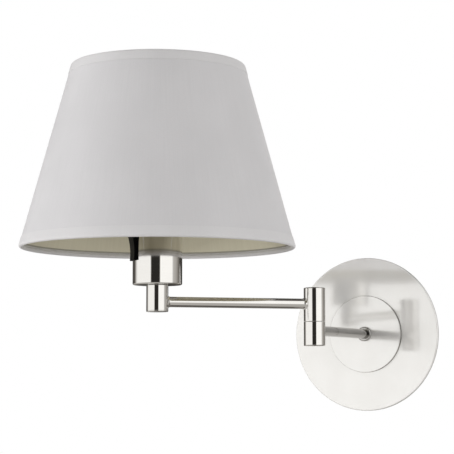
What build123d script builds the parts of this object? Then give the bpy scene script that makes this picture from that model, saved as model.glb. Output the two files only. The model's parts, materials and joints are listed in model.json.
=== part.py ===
from build123d import *
from math import atan2, cos, hypot, radians, sin
import os

# Swing-arm wall lamp. Millimetres, +Z up. The wall is the plane Y = 0 and the lamp stands out
# along -Y. The origin is the centre of the rosette on the wall, level with the wall arm.

# ---------------------------------------------------------------- driving dimensions
plate_d = 152.0          # wall rosette
plate_depth = 3.0        # rim depth off the wall
plate_t = 1.0            # sheet
plate_edge_r = 1.0       # rounded front edge
disc_d = 76.0            # raised centre of the rosette
disc_raise = 2.0

arm_d = 9.5              # both arm tubes
arm_wall = 1.0
elbow_out = 128.0        # wall to the elbow's axis
swing_len = 150.0        # elbow's axis to the head's axis
swing_z = 24.7           # height of the swing arm above the wall arm
swing_rest = 47.5        # stored swing from straight out, degrees
swing_limit = 90.0       # either way from straight out, degrees
head_limit = 90.0        # either way from the rocker facing outward, degrees

knuckle_d = 20.0         # elbow barrels and head knuckle
knuckle_wall = 3.0
elbow_bottom = -14.8
elbow_split = 8.1
elbow_top = 40.2
knuckle_bottom = 15.4
cup_z = 39.9             # underside of the lampholder's cup
cap_edge = 1.2           # end cap's straight edge
cap_dome = 0.6
knuckle_cap_dome = 0.2
cap_plug = 3.0
cap_slope_at = 0.55      # where the cap's dome turns steeper, as a share of its radius
cap_slope_drop = 0.25    # and how far it has fallen there, as a share of the dome

cup_d = 45.0
cup_h = 56.1
cup_wall = 1.2
cup_edge_r = 2.5

shade_bottom_d = 250.0   # outside, over the fabric
shade_top_d = 160.0
shade_z = 73.0           # bottom edge of the shade
shade_h = 167.6
shade_ring_angle = 46.6  # first spoke, from the head's own +X, degrees
spoke_count = 3

# ---------------------------------------------------------------- smaller sizes
bar_l = 70.0             # fixing bar behind the rosette
bar_w = 18.0
bar_t = 1.5
bar_corner_r = 3.0
slot_spacing = 54.0
slot_l = 9.0
slot_w = 4.5
earth_x = -14.5
earth_r = 1.75
earth_head_r = 2.8
earth_head_h = 1.3
driver_slot_w = 0.7
earth_tag_t = 0.5
earth_tag_r = 3.2
earth_tag_w = 3.2        # tail of the tag
earth_tag_l = 9.6

stem_r = 5.0             # M10x1 hollow stem of the arm root
spigot_wall = 0.8         # of the arm root's end inside the arm tube
stem_start = 0.3         # stem's end, off the wall
root_end = 21.5          # where the arm tube takes over from the arm root
spigot_l = 8.0
lock_washer_t = 0.5
lock_washer_r = 8.5
lock_teeth = 12
lock_tooth_w = 1.2       # gap between two teeth
lock_tooth_l = 1.4
lock_nut_t = 1.9
lock_nut_af = 14.0
collar_r = 7.2
collar_h = 3.0
collar_edge = 0.5

pivot_r = 4.0            # hollow M8x1 pivots
pivot_bore_r = 2.8
pivot_flange_r = 5.5
pivot_flange_t = 1.2
web_t = 4.0              # web that turns on a pivot
lower_web_t = 3.2        # web that holds the elbow's pivot
bearing_r = 6.0          # nylon bearing washers
bearing_t = 1.0
seam = 0.2               # open line between two turning faces
friction_r = 6.5
friction_t = 1.0
cone_r = 6.2             # conical spring washers
cone_h = 1.0
cone_t = 0.6
flat_t = 0.6
thin_nut_af = 11.0
thin_nut_t = 3.2
nut_stand = 0.8          # pivot showing past its nut

stop_pin_r = 0.8
stop_inset = 2.0         # stop circle, in from the knuckle's outside
stop_groove_w = 2.2
stop_groove_h = 1.6
stop_over = 1.0          # groove past each limit, degrees
stop_pin_in = 2.6
stop_pin_out = 1.2

flare_r = 6.2            # brazed flare where an arm meets a barrel
flare_in = 1.2
flare_out = 1.5

lead_r = 1.6             # twin silicone lead
lead_bend = 7.0
elbow_lead_z = 10.0      # where the leads meet inside the elbow's pivot
head_lead_z = 36.0       # where the leads meet inside the head's pivot

cup_nut_af = 14.0
cup_nut_t = 2.5
base_z = 50.0            # lampholder's insulating base
base_top = 94.0
base_entry_h = 4.0
wiring_r = 9.0
wiring_top = 88.0
skirt_r = 19.8           # threaded top of the lampholder
skirt_top = 122.0
disc_floor_t = 1.5       # insulating disc under the centre contact
contact_hole_r = 6.0
shell_r = 13.3           # inside of the E27 screw shell
shell_t = 0.6
shell_z = 97.0
shell_l = 23.0
tongue_w = 6.0           # centre contact
tongue_l = 16.0
tongue_flat = 5.4        # raised middle
tongue_t = 0.5
tongue_lift = 0.6
shade_ring_r = 28.0
shade_ring_h = 7.0
shade_ring_grips = 24
grip_r = 1.0
grip_out = 0.5           # grip groove's centre, outside the ring
hub_over = 4.5           # shade hub's rim, out past the cup
hub_t = 1.5
terminal_x = 4.6
terminal_size = 5.0
terminal_h = 8.0
terminal_screw_r = 1.3
terminal_screw_l = 4.5

rocker_w = 18.6
rocker_half = 13.5       # length of each face of the rocker
rocker_proud = 1.3       # pressed face, outside the cup
rocker_tilt = 14.0       # full throw, degrees
rocker_t = 4.0
rocker_hub_r = 3.2
rocker_pin_r = 1.0
rocker_pin_in = 1.8      # each end of the pin in the lampholder's base
rocker_z = 76.2          # rocker's pivot
rocker_in = 6.0          # rocker's pivot, in from the cup's outside
rocker_gap = 0.4         # all round, in the cup's window
pocket_room = 6.3        # rocker's pivot to the back of its pocket in the base
leaf_t = 0.4
leaf_w = 8.0
leaf_half = 11.5         # its middle to each end

wire_r = 1.25            # shade's wire rings
spoke_r = 1.1
spoke_inset = 2.2        # spoke's end, in from the hub's rim
spoke_drop = 0.77        # and below the hub's underside
liner_t = 0.8
fabric_t = 0.6
hem_l = 8.0

thread_gap = 0.05        # radial, between screwed or soldered pieces
running_gap = 0.05       # radial, between a pivot and the web that turns on it
slide_gap = 0.1
cup_gap = 0.4            # lampholder inside its cup
arc_step = 13.0          # degrees between the corners of a pie slice
past = 1.0               # how far a cutting tool reaches past what it cuts
through = 20.0           # cutting tool that goes right through thin sheet

# ---------------------------------------------------------------- worked out
FULL = 360.0
ROSETTE_OUT = Rot(90, 0, 0)                        # turns +Z into the way out of the wall
SWING = Pos(0, -elbow_out, 0) * Rot(0, 0, -swing_rest)
HEAD = SWING * Pos(0, -swing_len, 0)
FLOOR = (Align.CENTER, Align.CENTER, Align.MIN)

knuckle_r = knuckle_d / 2
hollow_r = knuckle_r - knuckle_wall
arm_r = arm_d / 2
arm_bore_r = arm_r - arm_wall
stem_bore_r = arm_bore_r - thread_gap - spigot_wall
stop_circle_r = knuckle_r - stop_inset
upper_z = elbow_split + seam
upper_web_top = upper_z + web_t
knuckle_top = cup_z - seam
head_web_z = knuckle_top - web_t
plate_front = plate_depth + disc_raise
plate_hollow = plate_front - plate_t
cup_r = cup_d / 2
cup_in_r = cup_r - cup_wall
cup_floor = cup_z + cup_wall
cup_top = cup_z + cup_h
base_r = cup_in_r - cup_gap
hub_r = cup_r + hub_over
rocker_y = cup_r - rocker_in
pocket_back = rocker_y - pocket_room

os.makedirs("parts", exist_ok=True)


def save(name, shape):
    export_step(shape, "parts/" + name + ".step")


def rod(radius, low, high):
    return Pos(0, 0, low) * Cylinder(radius, high - low, align=FLOOR)


def pipe(outer, inner, low, high):
    return rod(outer, low, high) - rod(inner, low - past, high + past)


def turned(*points):
    """Closed outline of (radius, height) points, turned about Z."""
    outline = Polyline(*[(r, 0, z) for r, z in points], close=True)
    return revolve(make_face(outline), Axis.Z, FULL)


def hex_nut(across_flats, bore, low, height):
    body = extrude(RegularPolygon(across_flats / 2, 6, major_radius=False), height)
    return Pos(0, 0, low) * (body - rod(bore, -past, height + past))


def slab(x, y, z):
    """Box between pairs of low and high values."""
    box = Box(x[1] - x[0], y[1] - y[0], z[1] - z[0])
    return Pos((x[0] + x[1]) / 2, (y[0] + y[1]) / 2, (z[0] + z[1]) / 2) * box


def slice_of_pie(radius, start, angle):
    """Sector of a many-sided disc in the XY plane."""
    steps = round(angle / arc_step)
    rim = [radians(start + angle * i / steps) for i in range(steps + 1)]
    points = [(radius * cos(a), radius * sin(a)) for a in rim]
    return make_face(Polyline((0, 0), *points, close=True))


def arc_slot(middle, reach, low, high):
    """Round-ended arc slot on the stop circle, centred on an angle, with the same reach each way."""
    inner = stop_circle_r - stop_groove_w / 2
    outer = stop_circle_r + stop_groove_w / 2
    wedge = extrude(slice_of_pie(2 * outer, middle - reach, 2 * reach), high - low)
    slot = pipe(outer, inner, low, high) & Pos(0, 0, low) * wedge
    for end in (middle - reach, middle + reach):
        x = stop_circle_r * cos(radians(end))
        y = stop_circle_r * sin(radians(end))
        slot = slot + Pos(x, y, 0) * rod(stop_groove_w / 2, low, high)
    return slot


def stop_pin(face, direction):
    """Pin on the stop circle at -Y, pressed into one face and standing out of it."""
    low = min(face - direction * stop_pin_in, face + direction * stop_pin_out)
    return Pos(0, -stop_circle_r, 0) * rod(stop_pin_r, low, low + stop_pin_in + stop_pin_out)


def stop_pin_hole(face, direction):
    end = face - direction * stop_pin_in
    return Pos(0, -stop_circle_r, 0) * rod(stop_pin_r, min(face, end), max(face, end))


def flare(side):
    """Small cone that blends an arm into a barrel; side is +1 towards +Y, -1 towards -Y."""
    length = flare_in + flare_out
    cone = Cone(flare_r, arm_r + thread_gap, length, align=FLOOR)
    return Rot(-90 * side, 0, 0) * Pos(0, 0, knuckle_r - flare_in) * cone


def arm_hole(side):
    """Radial hole through one wall of a barrel."""
    bore = Cylinder(arm_r + thread_gap, knuckle_r + flare_out, align=FLOOR)
    return Rot(-90 * side, 0, 0) * bore


def end_cap(z, direction, dome):
    """Cap pressed into a barrel's end; z is its outermost plane and direction points outward."""
    shoulder = cap_edge - dome
    soft = shoulder / 2
    points = [
        (0, 0),
        (knuckle_r * cap_slope_at, -dome * cap_slope_drop),
        (knuckle_r - soft, -dome),
        (knuckle_r, -dome - soft),
        (knuckle_r, -cap_edge),
        (hollow_r - thread_gap, -cap_edge),
        (hollow_r - thread_gap, -cap_edge - cap_plug),
        (0, -cap_edge - cap_plug),
    ]
    return Pos(0, 0, z) * turned(*[(r, direction * h) for r, h in points])


def cone_washer(low, wide_at_bottom):
    """Conical spring washer, resting on its wide or its narrow edge."""
    bore = pivot_r + slide_gap
    rise = cone_h - cone_t
    wide, narrow = (0, rise) if wide_at_bottom else (rise, 0)
    return Pos(0, 0, low) * turned(
        (bore, narrow), (cone_r, wide), (cone_r, wide + cone_t), (bore, narrow + cone_t)
    )


def lead(*points):
    path = FilletPolyline(*points, radius=lead_bend)
    return sweep(Plane(path @ 0, z_dir=path % 0) * Circle(lead_r), path=path)


# ---------------------------------------------------------------- on the wall
def make_rosette():
    edge = plate_edge_r
    outer = plate_d / 2
    disc = disc_d / 2
    hole = stem_r + slide_gap
    face = Polyline(
        (hole, 0, plate_hollow),
        (disc - plate_t, 0, plate_hollow),
        (disc - plate_t, 0, plate_depth - plate_t),
        (outer - plate_t, 0, plate_depth - plate_t),
        (outer - plate_t, 0, 0),
        (outer, 0, 0),
        (outer, 0, plate_depth - edge),
    )
    bulge = edge * (1 - cos(radians(45)))
    middle = (outer - bulge, 0, plate_depth - bulge)
    corner = ThreePointArc(face @ 1, middle, (outer - edge, 0, plate_depth))
    front = Polyline(
        corner @ 1,
        (disc, 0, plate_depth),
        (disc, 0, plate_front - plate_t / 2),
        (disc - plate_t / 2, 0, plate_front),
        (hole, 0, plate_front),
        (hole, 0, plate_hollow),
    )
    return ROSETTE_OUT * revolve(make_face(face + corner + front), Axis.Z, FULL)


def make_fixing_bar():
    bar = extrude(Rectangle(bar_l, bar_w) - Circle(stem_r + thread_gap), bar_t)
    for side in (-1, 1):
        slot = extrude(SlotOverall(slot_l, slot_w), through, both=True)
        bar = bar - Pos(side * slot_spacing / 2, 0, 0) * slot
    bar = bar - Pos(earth_x, 0, 0) * rod(earth_r + thread_gap, -past, bar_t + past)
    ends = bar.edges().filter_by(Axis.Z).group_by(Axis.X)
    return ROSETTE_OUT * fillet(ends[0] + ends[-1], bar_corner_r)


def make_lock_washer():
    washer = pipe(lock_washer_r, stem_r + slide_gap, bar_t, bar_t + lock_washer_t)
    for i in range(lock_teeth):
        turn = Rot(0, 0, i * FULL / lock_teeth)
        gap = Box(2 * lock_tooth_l, lock_tooth_w, through)
        washer = washer - turn * Pos(lock_washer_r, 0, 0) * gap
    return ROSETTE_OUT * washer


def make_earth_screw():
    head_z = bar_t + earth_tag_t
    screw = rod(earth_r, 0, head_z) + rod(earth_head_r, head_z, head_z + earth_head_h)
    slot = Box(2 * (earth_head_r + past), driver_slot_w, earth_head_h)
    screw = screw - Pos(0, 0, head_z + earth_head_h) * slot
    return ROSETTE_OUT * Pos(earth_x, 0, 0) * screw


def make_earth_tag():
    """Ring terminal under the earth screw, with a crimp barrel towards the rosette's edge."""
    ring = Circle(earth_tag_r)
    tail = Pos(0, earth_tag_l / 2) * Rectangle(earth_tag_w, earth_tag_l)
    tag = extrude(ring + tail - Circle(earth_r + slide_gap), earth_tag_t)
    return ROSETTE_OUT * Pos(earth_x, 0, bar_t) * tag


def make_collar():
    low = plate_front
    high = low + collar_h
    return ROSETTE_OUT * turned(
        (stem_r + thread_gap, low),
        (collar_r, low),
        (collar_r, high - collar_edge),
        (collar_r - collar_edge, high),
        (stem_r + thread_gap, high),
    )


def make_arm_root():
    shoulder = plate_front + collar_h
    body = rod(stem_r, stem_start, shoulder) + rod(arm_r, shoulder, root_end)
    body = body + rod(arm_bore_r - thread_gap, root_end, root_end + spigot_l)
    return ROSETTE_OUT * (body - rod(stem_bore_r, 0, root_end + spigot_l + past))


save("rosette", make_rosette())
save("fixing_bar", make_fixing_bar())
save("lock_washer", make_lock_washer())
lock_nut = hex_nut(lock_nut_af, stem_r + thread_gap, bar_t + lock_washer_t, lock_nut_t)
save("lock_nut", ROSETTE_OUT * lock_nut)
save("earth_screw", make_earth_screw())
save("earth_tag", make_earth_tag())
save("arm_collar", make_collar())
save("arm_root", make_arm_root())
save("wall_arm", ROSETTE_OUT * pipe(arm_r, arm_bore_r, root_end, elbow_out - hollow_r))


# ---------------------------------------------------------------- elbow, half on the wall arm
ELBOW = Pos(0, -elbow_out, 0)
lower_web_z = elbow_split - lower_web_t
bearing_seat = bearing_t - seam


def make_elbow_lower():
    body = pipe(knuckle_r, hollow_r, elbow_bottom + cap_edge, lower_web_z)
    body = body + rod(knuckle_r, lower_web_z, elbow_split) + flare(1) - arm_hole(1)
    body = body - rod(pivot_r + thread_gap, lower_web_z - past, elbow_split + past)
    body = body - rod(bearing_r + slide_gap, elbow_split - bearing_seat, elbow_split + past)
    body = body - rod(hollow_r, elbow_bottom, lower_web_z)
    reach = swing_limit + stop_over
    return body - arc_slot(-90, reach, elbow_split - stop_groove_h, elbow_split + past)


def make_elbow_pivot():
    top = upper_web_top + friction_t + cone_h + flat_t + thin_nut_t + nut_stand
    tube = rod(pivot_r, lower_web_z, top) + rod(
        pivot_flange_r, lower_web_z - pivot_flange_t, lower_web_z
    )
    return tube - rod(pivot_bore_r, elbow_bottom, top + past)


def bearing_washer(top):
    return pipe(bearing_r, pivot_r + slide_gap, top - bearing_t, top)


cone_z = upper_web_top + friction_t
flat_z = cone_z + cone_h
nut_bore = pivot_r + thread_gap
save("elbow_lower", ELBOW * make_elbow_lower())
save("elbow_bottom_cap", ELBOW * end_cap(elbow_bottom, -1, cap_dome))
save("elbow_pivot", ELBOW * make_elbow_pivot())
save("elbow_bearing_washer", ELBOW * bearing_washer(upper_z))
save("elbow_spring_washer", ELBOW * cone_washer(cone_z, True))
elbow_flat = pipe(cone_r, pivot_r + slide_gap, flat_z, flat_z + flat_t)
save("elbow_flat_washer", ELBOW * elbow_flat)
save("elbow_nut", ELBOW * hex_nut(thin_nut_af, nut_bore, flat_z + flat_t, thin_nut_t))
wall_lead = lead((0, -stem_start, 0), (0, -elbow_out, 0), (0, -elbow_out, elbow_lead_z))
save("wall_lead", wall_lead)


# ---------------------------------------------------------------- swing arm and its two barrels
def make_elbow_upper():
    body = rod(knuckle_r, upper_z, upper_web_top)
    body = body + pipe(knuckle_r, hollow_r, upper_web_top, elbow_top - cap_edge)
    body = body - rod(pivot_r + running_gap, upper_z - past, upper_web_top + past)
    body = body + Pos(0, 0, swing_z) * flare(-1) - Pos(0, 0, swing_z) * arm_hole(-1)
    return body - rod(hollow_r, upper_web_top, elbow_top) - stop_pin_hole(upper_z, -1)


def make_head_knuckle():
    body = pipe(knuckle_r, hollow_r, knuckle_bottom + cap_edge, head_web_z)
    body = body + rod(knuckle_r, head_web_z, knuckle_top)
    body = body - rod(pivot_r + running_gap, head_web_z - past, knuckle_top + past)
    body = body - rod(bearing_r + slide_gap, knuckle_top - bearing_seat, knuckle_top + past)
    body = body + Pos(0, 0, swing_z) * flare(1) - Pos(0, 0, swing_z) * arm_hole(1)
    return body - rod(hollow_r, knuckle_bottom, head_web_z) - stop_pin_hole(knuckle_top, 1)


def make_swing_arm():
    tube = pipe(arm_r, arm_bore_r, hollow_r, swing_len - hollow_r)
    return Pos(0, 0, swing_z) * Rot(90, 0, 0) * tube


friction = pipe(friction_r, pivot_r + slide_gap, 0, friction_t)
save("elbow_upper", SWING * make_elbow_upper())
save("elbow_top_cap", SWING * end_cap(elbow_top, 1, cap_dome))
save("elbow_friction_washer", SWING * Pos(0, 0, upper_web_top) * friction)
save("elbow_stop_pin", SWING * stop_pin(upper_z, -1))
save("swing_arm", SWING * make_swing_arm())
save("head_knuckle", HEAD * make_head_knuckle())
save("knuckle_cap", HEAD * end_cap(knuckle_bottom, -1, knuckle_cap_dome))
save("head_stop_pin", HEAD * stop_pin(knuckle_top, 1))
save("head_bearing_washer", HEAD * bearing_washer(cup_z))
save("head_friction_washer", HEAD * Pos(0, 0, head_web_z - friction_t) * friction)
arm_lead = lead(
    (0, 0, elbow_lead_z), (0, 0, swing_z), (0, -swing_len, swing_z), (0, -swing_len, head_lead_z)
)
save("arm_lead", SWING * arm_lead)


# ---------------------------------------------------------------- head, turning on the knuckle
head_cone_z = head_web_z - friction_t - cone_h
head_nut_z = head_cone_z - thin_nut_t
pivot_low = head_nut_z - nut_stand
base_floor = base_z + base_entry_h
window_half = rocker_w / 2 + rocker_gap
rocker_pin_l = 2 * (window_half + rocker_pin_in)
vertex = (cup_r + rocker_proud - rocker_y) / cos(radians(rocker_tilt / 2))


def rocker_outline():
    """Neutral rocker in (out, up) from its pivot: a shallow V, open outward, on a round hub."""
    tilt = radians(rocker_tilt / 2)
    out = sin(tilt)
    up = cos(tilt)
    tip = (vertex + rocker_half * out, rocker_half * up)
    heel = (tip[0] - rocker_t * up, tip[1] + rocker_t * out)
    root = vertex - rocker_t / up
    points = [
        (vertex, 0),
        tip,
        heel,
        (root + rocker_hub_r * out, rocker_hub_r * up),
        (0, rocker_hub_r),
        (0, -rocker_hub_r),
        (root + rocker_hub_r * out, -rocker_hub_r * up),
        (heel[0], -heel[1]),
        (tip[0], -tip[1]),
    ]
    return points


def rocker_reach():
    """Furthest that the rocker's ends come above or below its pivot, over its whole throw."""
    return max(
        hypot(x, z) * sin(atan2(z, x) + radians(turn))
        for x, z in rocker_outline()[1:3]
        for turn in (-rocker_tilt / 2, rocker_tilt / 2)
    )


window_low = rocker_z - rocker_reach() - rocker_gap
window_high = rocker_z + rocker_reach() + rocker_gap


def make_cup():
    outer = rod(cup_r, cup_z, cup_top)
    outer = fillet(outer.edges().group_by(Axis.Z)[0], cup_edge_r)
    inner = rod(cup_in_r, cup_floor, cup_top + past)
    inner = fillet(inner.edges().group_by(Axis.Z)[0], cup_edge_r - cup_wall)
    cup = outer - inner - rod(nut_bore, cup_z - past, cup_floor + past)
    cup = cup - arc_slot(-90, head_limit + stop_over, cup_z - past, cup_floor + past)
    window = slab((-window_half, window_half), (-cup_d, -cup_r / 2), (window_low, window_high))
    return cup - window


def make_base():
    """Insulating base of the lampholder: entry, wiring space, and the rocker's pocket."""
    base = rod(base_r, base_z, base_top) - rod(nut_bore, base_z - past, base_floor + past)
    base = base - rod(wiring_r, base_floor, wiring_top)
    pocket = slab((-window_half, window_half), (-cup_d, -pocket_back), (window_low, window_high))
    pin = Pos(0, -rocker_y, rocker_z) * Rot(0, 90, 0) * Cylinder(rocker_pin_r, rocker_pin_l)
    return base - pocket - pin


def make_skirt():
    """Threaded top of the lampholder, with the flange that lies on its base."""
    skirt = rod(base_r, base_top, cup_top) + rod(skirt_r, cup_top, skirt_top)
    return skirt - rod(shell_r + shell_t + thread_gap, base_top - past, skirt_top + past)


def make_tongue():
    """Sprung centre contact: a strip on the socket's floor with a raised middle."""
    low = base_top + disc_floor_t
    half = tongue_l / 2
    flat = tongue_flat / 2
    line = [(-half, 0), (-flat, tongue_lift), (flat, tongue_lift), (half, 0)]
    top = [(x, z + tongue_t) for x, z in reversed(line)]
    face = make_face(Polyline(*[(x, 0, low + z) for x, z in line + top], close=True))
    return extrude(face, tongue_w / 2, both=True)


def make_shade_ring():
    low = cup_top + hub_t
    high = low + shade_ring_h
    ring = pipe(shade_ring_r, skirt_r + thread_gap, low, high)
    grip = Pos(shade_ring_r + grip_out, 0, 0) * rod(grip_r, low - past, high + past)
    for i in range(shade_ring_grips):
        ring = ring - Rot(0, 0, i * FULL / shade_ring_grips) * grip
    return ring


def pair_of_terminals(shape):
    """A shape on each side of the lead, hanging from the wiring space's ceiling."""
    middle = wiring_top - terminal_h / 2
    return Compound(children=[Pos(side * terminal_x, 0, middle) * shape for side in (-1, 1)])


def make_leaf():
    """Spring leaf behind the rocker, bent out towards its hub."""
    back = pocket_back
    peak = rocker_y - rocker_hub_r - slide_gap - 2 * leaf_t
    foot = leaf_half / 2
    line = [(-back, -leaf_half), (-back, -foot), (-peak, 0), (-back, foot), (-back, leaf_half)]
    other = [(y - leaf_t, z) for y, z in reversed(line)]
    face = make_face(Polyline(*[(0, y, rocker_z + z) for y, z in line + other], close=True))
    return extrude(face, leaf_w / 2, both=True)


def make_rocker():
    """Rocker as stored, with its lower face pressed in and parallel to the cup."""
    hub = Rot(90, 0, 0) * Cylinder(rocker_hub_r, rocker_w)
    outline = Polyline(*[(x, 0, z) for x, z in rocker_outline()], close=True)
    body = extrude(make_face(outline), rocker_w / 2, both=True) + hub
    body = body - Rot(90, 0, 0) * Cylinder(rocker_pin_r + running_gap, rocker_w + 2 * past)
    pressed = Rot(0, rocker_tilt / 2, 0) * body
    return Pos(0, -rocker_y, rocker_z) * Rot(0, 0, -90) * pressed


rocker_pin = Rot(0, 90, 0) * Cylinder(rocker_pin_r, rocker_pin_l - slide_gap)
shell = pipe(shell_r + shell_t, shell_r, shell_z, shell_z + shell_l)
head_pivot = pipe(pivot_r, pivot_bore_r, pivot_low, base_floor)
terminal_block = Box(terminal_size, terminal_size, terminal_h)
terminal_screw = Rot(90, 0, 0) * Cylinder(terminal_screw_r, terminal_screw_l, align=FLOOR)
save("head_pivot", HEAD * head_pivot)
save("head_spring_washer", HEAD * cone_washer(head_cone_z, False))
save("head_nut", HEAD * hex_nut(thin_nut_af, nut_bore, head_nut_z, thin_nut_t))
save("cup_nut", HEAD * hex_nut(cup_nut_af, nut_bore, cup_floor, cup_nut_t))
save("lampholder_cup", HEAD * make_cup())
save("lampholder_base", HEAD * make_base())
save("lampholder_skirt", HEAD * make_skirt())
save("contact_disc", HEAD * pipe(shell_r + shell_t, contact_hole_r, base_top, base_top + disc_floor_t))
save("screw_shell", HEAD * shell)
save("centre_contact", HEAD * make_tongue())
save("terminal_blocks", HEAD * pair_of_terminals(terminal_block - terminal_screw))
save("terminal_screws", HEAD * pair_of_terminals(terminal_screw))
save("head_lead", HEAD * rod(lead_r, head_lead_z, wiring_top - terminal_h - slide_gap))
save("switch_leaf", HEAD * make_leaf())
save("rocker_pin", HEAD * Pos(0, -rocker_y, rocker_z) * rocker_pin)
save("rocker", HEAD * make_rocker())
save("shade_ring", HEAD * make_shade_ring())


# ---------------------------------------------------------------- shade
def along(r, z, out, up):
    """Point at a distance out from, and up along, the shade's sloping middle line."""
    return (r + out * slope_up - up * slope_in, z + out * slope_in + up * slope_up)


ring_out = wire_r + slide_gap / 2 + fabric_t
low_r = shade_bottom_d / 2 - ring_out
low_z = shade_z + ring_out
high_r = shade_top_d / 2 - ring_out
high_z = shade_z + shade_h - ring_out
slant = hypot(low_r - high_r, high_z - low_z)
slope_in = (low_r - high_r) / slant
slope_up = (high_z - low_z) / slant
hub = pipe(hub_r, skirt_r + slide_gap, cup_top, cup_top + hub_t)


def wire_ring(r, z):
    return Pos(0, 0, z) * Torus(r, wire_r)


def make_spokes(radius):
    """Straight spokes from under the hub down to the middle of the bottom wire ring."""
    start = Vector(hub_r - spoke_inset, 0, cup_top - spoke_drop)
    end = Vector(low_r, 0, low_z)
    length = (end - start).length
    place = Plane(origin=start, z_dir=end - start)
    spoke = place * Cylinder(radius, length, align=FLOOR)
    turns = [shade_ring_angle + i * FULL / spoke_count for i in range(spoke_count)]
    return [Rot(0, 0, a) * spoke for a in turns]


def make_liner():
    inner = wire_r - liner_t
    ends = [(inner, wire_r), (wire_r, wire_r)]
    low = [along(low_r, low_z, out, up) for out, up in ends]
    high = [along(high_r, high_z, out, -up) for out, up in reversed(ends)]
    return turned(*low, *high)


def make_fabric():
    """Cloth over the liner, turned round both wires and back up inside as a hem."""
    near = wire_r + slide_gap / 2
    far = near + fabric_t
    back = wire_r - liner_t - slide_gap

    def flat(point):
        return (point[0], 0, point[1])

    def end(r, z, way):
        """Points and tips of the turn at one wire; way is +1 at the bottom and -1 at the top."""
        outer = [along(r, z, far, 0), along(r, z, 0, -way * far), along(r, z, -far, 0)]
        inner = [along(r, z, -near, 0), along(r, z, 0, -way * near), along(r, z, near, 0)]
        hem = [along(r, z, back - fabric_t, way * hem_l), along(r, z, back, way * hem_l)]
        return [flat(p) for p in outer], [flat(p) for p in hem], [flat(p) for p in inner]

    out_a, hem_a, in_a = end(low_r, low_z, 1)
    out_b, hem_b, in_b = end(high_r, high_z, -1)
    edges = [
        ThreePointArc(*out_a),
        Polyline(out_a[2], *hem_a, in_a[0]),
        ThreePointArc(*in_a),
        Line(in_a[2], in_b[2]),
        ThreePointArc(*in_b),
        Polyline(in_b[0], *reversed(hem_b), out_b[2]),
        ThreePointArc(*out_b),
        Line(out_b[0], out_a[0]),
    ]
    cloth = revolve(make_face(Curve() + edges), Axis.Z, FULL)
    for spoke in make_spokes(spoke_r + rocker_gap):
        cloth = cloth - spoke
    return cloth


bottom_wire = wire_ring(low_r, low_z)
spokes = [spoke - hub - bottom_wire for spoke in make_spokes(spoke_r)]
save("shade_hub", HEAD * hub)
save("shade_spokes", HEAD * Compound(children=spokes))
save("bottom_wire", HEAD * bottom_wire)
save("top_wire", HEAD * wire_ring(high_r, high_z))
save("shade_liner", HEAD * make_liner())
save("shade_fabric", HEAD * make_fabric())
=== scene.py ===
import json
from math import atan2, cos, hypot, pi, radians, sin, tan

import bmesh
import bpy
from mathutils import Matrix, Vector

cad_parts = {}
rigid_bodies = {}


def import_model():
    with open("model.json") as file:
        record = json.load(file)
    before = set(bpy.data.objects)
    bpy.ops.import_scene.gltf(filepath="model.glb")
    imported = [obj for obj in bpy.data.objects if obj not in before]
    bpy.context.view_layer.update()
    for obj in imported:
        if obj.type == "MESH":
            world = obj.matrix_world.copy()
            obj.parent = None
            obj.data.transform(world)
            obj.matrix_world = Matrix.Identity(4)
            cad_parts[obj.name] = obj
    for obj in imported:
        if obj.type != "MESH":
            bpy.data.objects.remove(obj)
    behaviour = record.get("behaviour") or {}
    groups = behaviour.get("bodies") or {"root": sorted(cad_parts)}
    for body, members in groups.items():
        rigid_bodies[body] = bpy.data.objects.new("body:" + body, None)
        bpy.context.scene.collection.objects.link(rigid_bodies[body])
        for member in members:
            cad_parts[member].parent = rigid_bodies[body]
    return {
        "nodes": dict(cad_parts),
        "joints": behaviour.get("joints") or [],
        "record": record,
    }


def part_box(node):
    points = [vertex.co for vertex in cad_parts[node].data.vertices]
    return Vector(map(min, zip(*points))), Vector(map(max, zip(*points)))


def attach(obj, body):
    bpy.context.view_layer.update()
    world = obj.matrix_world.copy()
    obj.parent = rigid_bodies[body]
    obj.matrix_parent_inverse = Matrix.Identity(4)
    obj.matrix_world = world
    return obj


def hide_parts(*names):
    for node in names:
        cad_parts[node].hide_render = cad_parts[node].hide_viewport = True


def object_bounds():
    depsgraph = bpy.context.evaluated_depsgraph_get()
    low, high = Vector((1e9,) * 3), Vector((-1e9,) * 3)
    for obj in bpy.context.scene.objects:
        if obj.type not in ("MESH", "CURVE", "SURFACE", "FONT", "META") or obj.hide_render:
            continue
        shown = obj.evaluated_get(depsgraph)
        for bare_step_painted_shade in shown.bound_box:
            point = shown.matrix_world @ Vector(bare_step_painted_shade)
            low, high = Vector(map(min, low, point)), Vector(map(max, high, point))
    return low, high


# Looks of a swing-arm wall lamp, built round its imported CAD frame. Metres, +Z up, wall at Y = 0.

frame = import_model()
cad_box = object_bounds()
scene = bpy.context.scene
MM = 0.001
FULL = 2 * pi


# ---------------------------------------------------------------- places and sizes from the frame
def height_of(node):
    low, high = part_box(node)
    return low.z, high.z


def half_width(node):
    low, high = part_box(node)
    return (high.x - low.x) / 2


joints = {joint["name"]: joint for joint in frame["joints"]}
elbow = Vector(joints["elbow_swing"]["pos_m"])
head = Vector(joints["head_swivel"]["pos_m"])
rocker_pivot = Vector(joints["rocker_tilt"]["pos_m"])
along_arm = Vector((head.x - elbow.x, head.y - elbow.y, 0))
swing_length = along_arm.length
swing_turn = atan2(along_arm.x, -along_arm.y)          # swing arm, from straight out of the wall

OUT_OF_WALL = Matrix.Rotation(pi / 2, 4, "X")          # local +Z points out of the wall
ELBOW = Matrix.Translation((elbow.x, elbow.y, 0))
HEAD = Matrix.Translation((head.x, head.y, 0)) @ Matrix.Rotation(swing_turn, 4, "Z")
SWING_ARM = (
    Matrix.Translation(elbow) @ Matrix.Rotation(swing_turn, 4, "Z") @ Matrix.Rotation(pi / 2, 4, "X")
)

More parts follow.
